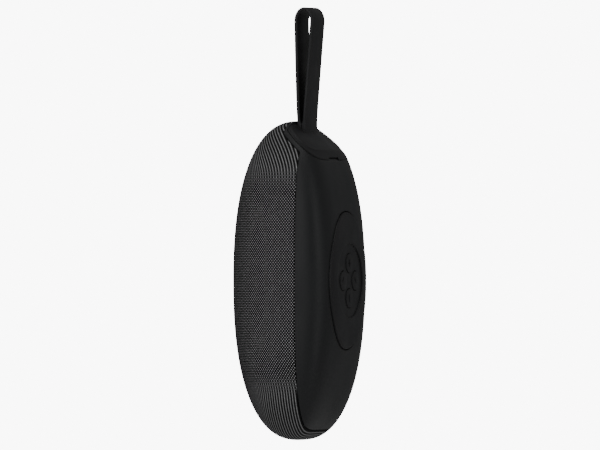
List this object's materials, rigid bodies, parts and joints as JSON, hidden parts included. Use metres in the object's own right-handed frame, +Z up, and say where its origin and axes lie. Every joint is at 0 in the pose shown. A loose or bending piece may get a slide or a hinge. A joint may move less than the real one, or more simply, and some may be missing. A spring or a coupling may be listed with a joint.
{
  "type": "shower speaker",
  "caption": "Pebble-shaped hanging waterproof wireless speaker: fabric front, rear shell with silicone keypad, port cap and silicone hanging strap.",
  "frame": {"origin": "point inside the top of the strap's loop where a hook carries the speaker, in the middle of the strap's width", "axes": "+Z up along the case when it hangs, +Y towards the keypad, -Y towards the fabric, +X to the right seen from the fabric side"},
  "size_m": [0.069, 0.0562, 0.2034],
  "materials": {
    "shell_black": "fine satin moulding",
    "fabric_black": "black knitted speaker cloth with pale dots",
    "silicone_black": "matte silicone",
    "frame_black": "matte moulding",
    "rubber_black": "smooth rubber",
    "paper_cone": "pressed fibre",
    "steel": "bright plated",
    "magnet_grey": "plated sintered magnet",
    "copper": "enamelled winding",
    "board_green": "solder-masked board",
    "battery_wrap": "pouch foil"
  },
  "bodies": {
    "casing": {"rear_shell": "shell_black", "fabric_cover": "fabric_black", "front_basket": "frame_black", "seam_gasket": "silicone_black", "baffle": "frame_black", "case_screw_1": "steel", "case_screw_2": "steel", "case_screw_3": "steel", "case_screw_4": "steel", "driver_frame": "frame_black", "driver_magnet": "magnet_grey", "driver_yoke": "steel", "driver_surround": "rubber_black", "driver_screw_1": "steel", "driver_screw_2": "steel", "driver_screw_3": "steel", "driver_screw_4": "steel", "radiator_frame": "frame_black", "radiator_surround": "rubber_black", "radiator_screw_1": "steel", "radiator_screw_2": "steel", "radiator_screw_3": "steel", "radiator_screw_4": "steel", "keypad_pad": "silicone_black", "keypad_board": "board_green", "switch_body_plus": "frame_black", "switch_body_call": "frame_black", "switch_body_minus": "frame_black", "switch_body_play": "frame_black", "cap_base": "silicone_black", "anchor_pin": "steel", "usb_socket": "steel", "port_board": "board_green", "microphone": "steel", "battery_cell": "battery_wrap", "battery_tray": "frame_black", "main_board": "board_green"},
    "cone": {"driver_cone": "paper_cone", "dust_cap": "rubber_black", "voice_coil": "copper"},
    "radiator": {"radiator_plate": "magnet_grey"},
    "strap": {"strap": "silicone_black"},
    "flap": {"port_flap": "silicone_black"},
    "key_plus": {"key_plus": "silicone_black"},
    "plunger_plus": {"switch_plunger_plus": "steel"},
    "key_call": {"key_call": "silicone_black"},
    "plunger_call": {"switch_plunger_call": "steel"},
    "key_minus": {"key_minus": "silicone_black"},
    "plunger_minus": {"switch_plunger_minus": "steel"},
    "key_play": {"key_play": "silicone_black"},
    "plunger_play": {"switch_plunger_play": "steel"}
  },
  "joints": [
    {"name": "strap_swing", "type": "hinge", "parent": "casing", "child": "strap", "pos_m": [0, -0.0012, -0.0511], "axis": [1, 0, 0], "range_deg": [-60, 60], "stiffness_Nm_per_rad": 0.01},
    {"name": "flap_lift", "type": "hinge", "parent": "casing", "child": "flap", "pos_m": [0, 0.00183, -0.058], "axis": [1, 0, 0], "range_deg": [0, 100], "stiffness_Nm_per_rad": 0.01},
    {"name": "cone_stroke", "type": "slide", "parent": "casing", "child": "cone", "axis": [0, -1, 0], "range_m": [-0.0015, 0.0015], "stiffness_N_per_m": 1000},
    {"name": "radiator_stroke", "type": "slide", "parent": "casing", "child": "radiator", "axis": [0, -1, 0], "range_m": [-0.002, 0.002], "stiffness_N_per_m": 700},
    {"name": "key_plus_press", "type": "slide", "parent": "casing", "child": "key_plus", "axis": [0, -1, 0], "range_m": [0, 0.0006], "stiffness_N_per_m": 400},
    {"name": "plunger_plus_press", "type": "slide", "parent": "casing", "child": "plunger_plus", "axis": [0, -1, 0], "range_m": [0, 0.0006]},
    {"name": "key_call_press", "type": "slide", "parent": "casing", "child": "key_call", "axis": [0, -1, 0], "range_m": [0, 0.0006], "stiffness_N_per_m": 400},
    {"name": "plunger_call_press", "type": "slide", "parent": "casing", "child": "plunger_call", "axis": [0, -1, 0], "range_m": [0, 0.0006]},
    {"name": "key_minus_press", "type": "slide", "parent": "casing", "child": "key_minus", "axis": [0, -1, 0], "range_m": [0, 0.0006], "stiffness_N_per_m": 400},
    {"name": "plunger_minus_press", "type": "slide", "parent": "casing", "child": "plunger_minus", "axis": [0, -1, 0], "range_m": [0, 0.0006]},
    {"name": "key_play_press", "type": "slide", "parent": "casing", "child": "key_play", "axis": [0, -1, 0], "range_m": [0, 0.0006], "stiffness_N_per_m": 400},
    {"name": "plunger_play_press", "type": "slide", "parent": "casing", "child": "plunger_play", "axis": [0, -1, 0], "range_m": [0, 0.0006]}
  ],
  "couplings": [
    {"joint": "plunger_plus_press", "follows": "key_plus_press", "ratio": 1},
    {"joint": "plunger_call_press", "follows": "key_call_press", "ratio": 1},
    {"joint": "plunger_minus_press", "follows": "key_minus_press", "ratio": 1},
    {"joint": "plunger_play_press", "follows": "key_play_press", "ratio": 1}
  ]
}
